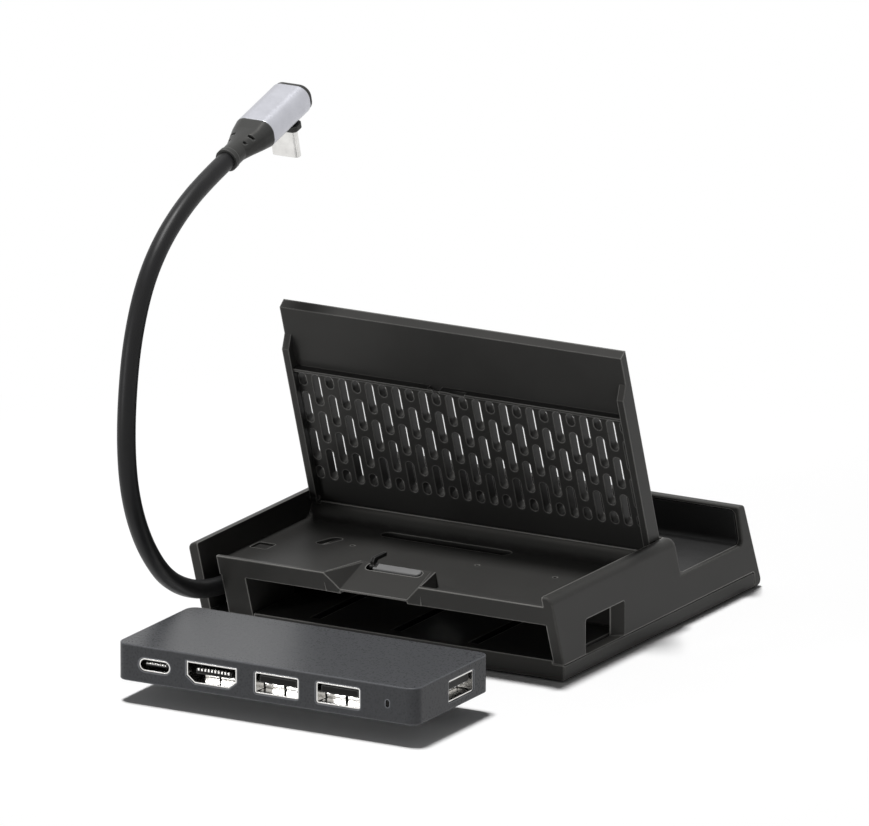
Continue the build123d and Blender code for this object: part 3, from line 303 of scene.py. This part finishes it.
spring_plating = turned_steel("spring_plating", (0.92, 0.91, 0.89), 0.16, (1, 12, 1))
DATA_PLACES = np.array([-3.5, -1.0, 1.0, 3.5]) * MM
LEAF_PLACES = np.array([-3.15, 3.15]) * MM
VIDEO_PLACES = np.linspace(-4.5, 4.5, 10) * MM
OVAL_PLACES = np.linspace(-2.75, 2.75, 12) * MM
DATA_PROFILE = [(6.8, 10.98), (4.6, 10.92), (2.6, 10.72), (1.6, 10.74), (1.0, 10.9)]
LEAF_PROFILE = [(6.9, 8.36), (5.3, 8.38), (4.9, 8.48), (4.68, 8.72), (4.62, 9.1), (4.60, 9.65)]
VIDEO_PROFILE = [(1.12, 11.35), (1.12, 11.85), (1.3, 12.0), (2.6, 12.08), (4.6, 12.05), (6.8, 11.96)]
OVAL_PROFILE = [(0.93, 11.05), (0.93, 11.3), (1.05, 11.38), (3.0, 11.42), (5.0, 11.36)]
DATA_ROWS = [(DATA_PLACES, 1.0 * MM, DATA_PROFILE), (LEAF_PLACES, 5.5 * MM, LEAF_PROFILE)]
VIDEO_ROWS = [(VIDEO_PLACES, 0.5 * MM, VIDEO_PROFILE), (LEAF_PLACES * 0.75, 4.2 * MM, LEAF_PROFILE)]
OVAL_ROWS = [(OVAL_PLACES, 0.26 * MM, OVAL_PROFILE)]
springs("oval_socket", (0, -1, 0), OVAL_ROWS)
springs("video_socket", (0, -1, 0), VIDEO_ROWS)
springs("data_socket_left", (0, -1, 0), DATA_ROWS)
springs("data_socket_right", (0, -1, 0), DATA_ROWS)
springs("data_socket_side", (1, 0, 0), DATA_ROWS)
springs("rear_socket", (0, 1, 0), OVAL_ROWS)


# Lead
# A stiff round lead that keeps its bend: from the inner plug behind the bay, round the corner and out
# through the channel, then up and over to the plug. The route's points are those of the solid tube.

LEAD_DIAMETER = 5.0 * MM
LEAD_X = -49.0
LEAD_ROUTE = [
    (-8.0, -11.6, 11.0), (-38.0, -11.6, 11.0), (LEAD_X, -22.6, 11.1), (LEAD_X, -37.6, 11.0),
    (LEAD_X, -53.1, 11.6), (LEAD_X, -66.3, 13.9), (LEAD_X, -79.2, 19.8), (LEAD_X, -88.1, 28.1),
    (LEAD_X, -95.0, 38.0), (LEAD_X, -99.4, 49.0), (LEAD_X, -101.1, 61.0), (LEAD_X, -100.5, 74.5),
    (LEAD_X, -97.8, 89.2), (LEAD_X, -91.6, 102.9), (LEAD_X, -82.4, 112.5), (LEAD_X, -70.3, 119.6),
    (LEAD_X, -57.5, 124.1), (LEAD_X, -48.6, 126.45),
]


def lead_jacket():
    """Satin jacket: nearly smooth, with a faint lengthwise drift of gloss and a fine skin."""
    material, tree, skin, place = new_finish("lead_jacket", 0.42, specular=0.20)
    drift_tone(tree, skin, speckle(tree, place, 8 * MM), (0.010, 0.010, 0.0105), 0.10)
    drift_gloss(tree, skin, speckle(tree, place, 3 * MM, 2.0, (1, 2, 2)), 0.36, 0.46)
    raise_grain(tree, skin, speckle(tree, place, 0.3 * MM), 0.006 * MM, 0.2 * MM)
    return material


def lead():
    """A curve of one smooth spline through the route's control points, with a round section."""
    curve = bpy.data.curves.new("lead", "CURVE")
    curve.dimensions = "3D"
    curve.resolution_u = 16
    curve.bevel_depth = LEAD_DIAMETER / 2
    curve.bevel_resolution = 7
    curve.use_fill_caps = True
    spline = curve.splines.new("NURBS")
    spline.points.add(len(LEAD_ROUTE) - 1)
    for point, place in zip(spline.points, LEAD_ROUTE):
        point.co = (*[c * MM for c in place], 1.0)
    spline.order_u = 3
    spline.use_endpoint_u = True
    curve.materials.append(lead_jacket())
    piece = bpy.data.objects.new("lead", curve)
    bpy.context.scene.collection.objects.link(piece)
    return piece


lead_piece = lead()
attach(lead_piece, "base")
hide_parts("cable")


# Plugs
# The outer plug is a blasted and anodised aluminium sleeve between a black strain relief and a black
# end cap, with a bright tip. The inner plug is a plain black moulding.

def blasted_aluminium():
    """Anodised sleeve: a fine blasted grain, slightly blue, with a soft sheen."""
    material, tree, skin, place = new_finish("plug_sleeve", 0.34, metallic=1.0)
    drift_tone(tree, skin, speckle(tree, place, 4 * MM), (0.50, 0.505, 0.545), 0.04)
    drift_gloss(tree, skin, speckle(tree, place, 0.5 * MM), 0.30, 0.40)
    raise_grain(tree, skin, speckle(tree, place, 0.10 * MM), 0.006 * MM, 0.25 * MM)
    return material


RELIEF_COLOUR = (0.055, 0.0555, 0.0540)
relief_finish = moulded_plastic("relief_moulding", RELIEF_COLOUR, 0.36, 0.18 * MM, 0.006 * MM, highlight_gain=2.0)
dress(blasted_aluminium(), "plug_body")
dress(relief_finish, "strain_relief", "plug_end_cap", "plug_collar", "inner_plug_body")
dress(sheet_steel, "plug_tip", "inner_plug_tip")


# Studio
# A white floor that keeps the shadow, one soft lamp overhead with a weak one at the front left, and a
# long lens at the photograph's angle. Far from the dock the floor and the room are plain white.

def seen_directly(tree):
    """One for what the camera sees, straight or in a mirror or through glass, and nought for other light."""
    rays = tree.nodes.new("ShaderNodeLightPath").outputs
    mirrors = tree.nodes.new("ShaderNodeMath")
    tree.links.new(rays["Is Glossy Ray"], mirrors.inputs[0])
    tree.links.new(rays["Is Transmission Ray"], mirrors.inputs[1])
    seen = tree.nodes.new("ShaderNodeMath")
    seen.use_clamp = True
    tree.links.new(rays["Is Camera Ray"], seen.inputs[0])
    tree.links.new(mirrors.outputs["Value"], seen.inputs[1])
    return seen.outputs["Value"]


def disc(radius, rings, spokes):
    """Grid of rings and spokes: each point is its ring's radius turned by its spoke's angle."""
    r, a = np.meshgrid(np.linspace(0.02, radius, rings), np.linspace(0, 2 * np.pi, spokes, endpoint=False))
    points = np.stack([r * np.cos(a), r * np.sin(a), np.zeros_like(r)], axis=-1).reshape(-1, 3)
    index = np.arange(spokes * rings).reshape(spokes, rings)
    after = np.roll(index, -1, axis=0)
    quads = np.stack([index[:, :-1], index[:, 1:], after[:, 1:], after[:, :-1]], axis=-1).reshape(-1, 4)
    middle = index[:, 0]
    return points, quads.tolist() + [middle.tolist()]


SHADOW_REACH = 130 * MM
WHITE_FROM = 240 * MM


def floor_finish():
    """White floor: plain diffuse round the dock, and plain white to the eye further out."""
    material, tree, skin, place = new_finish("floor_white", 1.0, specular=0.0)
    skin.inputs["Base Color"].default_value = (0.98, 0.98, 0.98, 1)
    away = tree.nodes.new("ShaderNodeVectorMath")
    away.operation = "LENGTH"
    tree.links.new(place, away.inputs[0])
    fade = tree.nodes.new("ShaderNodeMapRange")
    fade.interpolation_type = "SMOOTHSTEP"
    fade.inputs["From Min"].default_value = SHADOW_REACH
    fade.inputs["From Max"].default_value = WHITE_FROM
    tree.links.new(away.outputs["Value"], fade.inputs["Value"])
    share = tree.nodes.new("ShaderNodeMath")
    share.operation = "MULTIPLY"
    tree.links.new(fade.outputs["Result"], share.inputs[0])
    tree.links.new(seen_directly(tree), share.inputs[1])
    white = tree.nodes.new("ShaderNodeEmission")
    either = tree.nodes.new("ShaderNodeMixShader")
    tree.links.new(share.outputs["Value"], either.inputs["Fac"])
    tree.links.new(skin.outputs["BSDF"], either.inputs[1])
    tree.links.new(white.outputs["Emission"], either.inputs[2])
    tree.links.new(either.outputs["Shader"], tree.nodes["Material Output"].inputs["Surface"])
    return material


FLOOR_RADIUS = 5.0
floor_points, floor_faces = disc(FLOOR_RADIUS, rings=24, spokes=64)
floor_mesh = bpy.data.meshes.new("floor")
floor_mesh.from_pydata(floor_points.tolist(), [], floor_faces)
floor_mesh.materials.append(floor_finish())
floor = bpy.data.objects.new("floor", floor_mesh)
bpy.context.scene.collection.objects.link(floor)

AIM = Vector((-17.427, 5.927, 48.947)) * MM


def soft_box(name, place, size, power):
    """A square area lamp that faces the aim point."""
    lamp = bpy.data.lights.new(name, "AREA")
    lamp.shape = "SQUARE"
    lamp.size = size
    lamp.energy = power
    box = bpy.data.objects.new(name, lamp)
    box.location = place
    box.rotation_mode = "QUATERNION"
    box.rotation_quaternion = (AIM - Vector(place)).to_track_quat("-Z", "Y")
    bpy.context.scene.collection.objects.link(box)


soft_box("overhead", (-0.26, -0.10, 2.5), size=0.4, power=60.0)
soft_box("left_front", (-0.75, -1.4, 0.22), size=0.35, power=5.0)

ROOM_FILL = 0.08
world = bpy.data.worlds.new("studio")
bpy.context.scene.world = world
world.use_nodes = True
room_tree = world.node_tree
fill = room_tree.nodes["Background"]
fill.inputs["Color"].default_value = (1, 1, 1, 1)
fill.inputs["Strength"].default_value = ROOM_FILL
plain_white = room_tree.nodes.new("ShaderNodeBackground")
plain_white.inputs["Color"].default_value = (1, 1, 1, 1)
plain_white.inputs["Strength"].default_value = 1.0
either = room_tree.nodes.new("ShaderNodeMixShader")
room_tree.links.new(seen_directly(room_tree), either.inputs["Fac"])
room_tree.links.new(fill.outputs["Background"], either.inputs[1])
room_tree.links.new(plain_white.outputs["Background"], either.inputs[2])
room_tree.links.new(either.outputs["Shader"], room_tree.nodes["World Output"].inputs["Surface"])

PHOTO_WIDTH = 869
PIXELS_PER_METRE = 3797.6
CAMERA_DISTANCE = 7.5
FOCAL_PIXELS = PIXELS_PER_METRE * CAMERA_DISTANCE
AZIMUTH, ELEVATION = math.radians(29.667), math.radians(15.719)
SENSOR = 36.0
FAR_LIMIT = 60.0
forward = Vector((
    -math.sin(AZIMUTH) * math.cos(ELEVATION), math.cos(AZIMUTH) * math.cos(ELEVATION), -math.sin(ELEVATION),
))
lens = bpy.data.cameras.new("camera")
lens.sensor_width = SENSOR
lens.lens = FOCAL_PIXELS / PHOTO_WIDTH * SENSOR
lens.clip_end = FAR_LIMIT
camera = bpy.data.objects.new("camera", lens)
camera.location = AIM - forward * CAMERA_DISTANCE
camera.rotation_mode = "QUATERNION"
camera.rotation_quaternion = forward.to_track_quat("-Z", "Y")
bpy.context.scene.collection.objects.link(camera)
bpy.context.scene.camera = camera
bpy.context.scene.view_settings.view_transform = "Standard"
